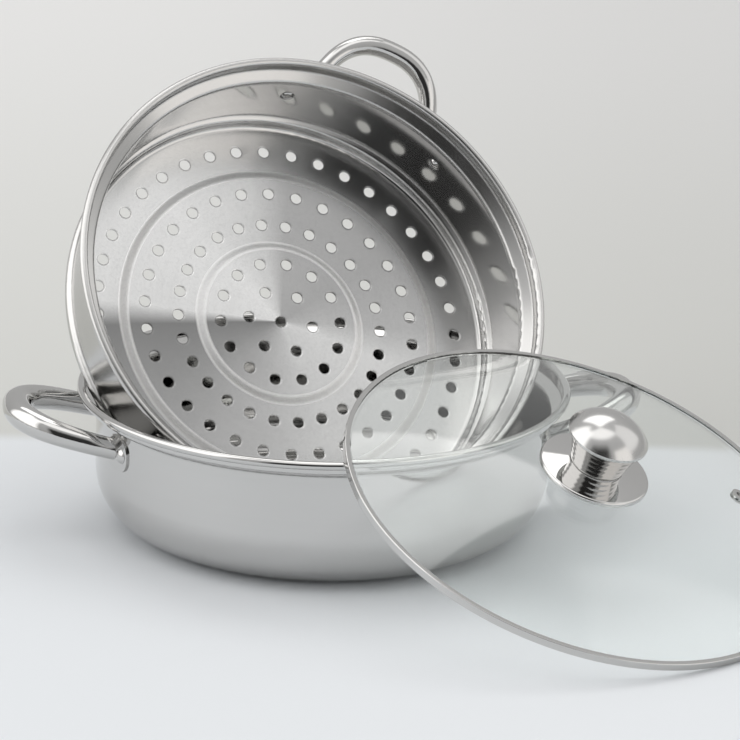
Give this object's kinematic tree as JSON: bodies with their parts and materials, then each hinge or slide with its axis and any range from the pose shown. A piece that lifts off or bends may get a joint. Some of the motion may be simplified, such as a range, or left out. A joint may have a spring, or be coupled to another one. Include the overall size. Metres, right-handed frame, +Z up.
{
  "type": "steamer pot",
  "caption": "Two-handled steel pot with a perforated steaming basket leaning in it and a domed glass lid with a metal knob leaning against it.",
  "frame": {"origin": "middle of the pot's flat base, on the surface that it stands on", "axes": "+Z up, X through the pot's two handles, -Y towards the side that the basket opens to"},
  "size_m": [0.4675, 0.4387, 0.2701],
  "materials": {
    "polished_steel": "mirror polished stainless steel",
    "satin_steel": "polished wall and satin brushed floor, stainless steel",
    "clear_glass": "clear tempered glass",
    "silicone": "matte silicone"
  },
  "bodies": {
    "pot": {"pot_shell": "polished_steel", "pot_handle_left": "polished_steel", "pot_handle_right": "polished_steel", "pot_bracket_left_front": "polished_steel", "pot_bracket_left_rear": "polished_steel", "pot_bracket_right_front": "polished_steel", "pot_bracket_right_rear": "polished_steel", "pot_rivets": "polished_steel"},
    "basket": {"basket_shell": "satin_steel", "basket_handle_upper": "polished_steel", "basket_handle_lower": "polished_steel", "basket_bracket_upper_left": "polished_steel", "basket_bracket_upper_right": "polished_steel", "basket_bracket_lower_left": "polished_steel", "basket_bracket_lower_right": "polished_steel", "basket_rivets": "polished_steel"},
    "lid": {"lid_glass": "clear_glass", "lid_rim_band": "polished_steel", "vent_eyelet": "polished_steel", "knob_base_plate": "polished_steel", "knob_neck": "polished_steel", "knob_cap": "polished_steel", "knob_screw": "polished_steel", "knob_washer": "polished_steel", "knob_gasket_upper": "silicone", "knob_gasket_lower": "silicone"}
  },
  "joints": [
    {"name": "basket_lift", "type": "slide", "parent": "pot", "child": "basket", "axis": [-0.1784, 0.6063, 0.7749], "range_m": [0, 0.18]},
    {"name": "lid_lift", "type": "slide", "parent": "pot", "child": "lid", "axis": [0.2276, -0.3132, 0.922], "range_m": [0, 0.12]}
  ]
}
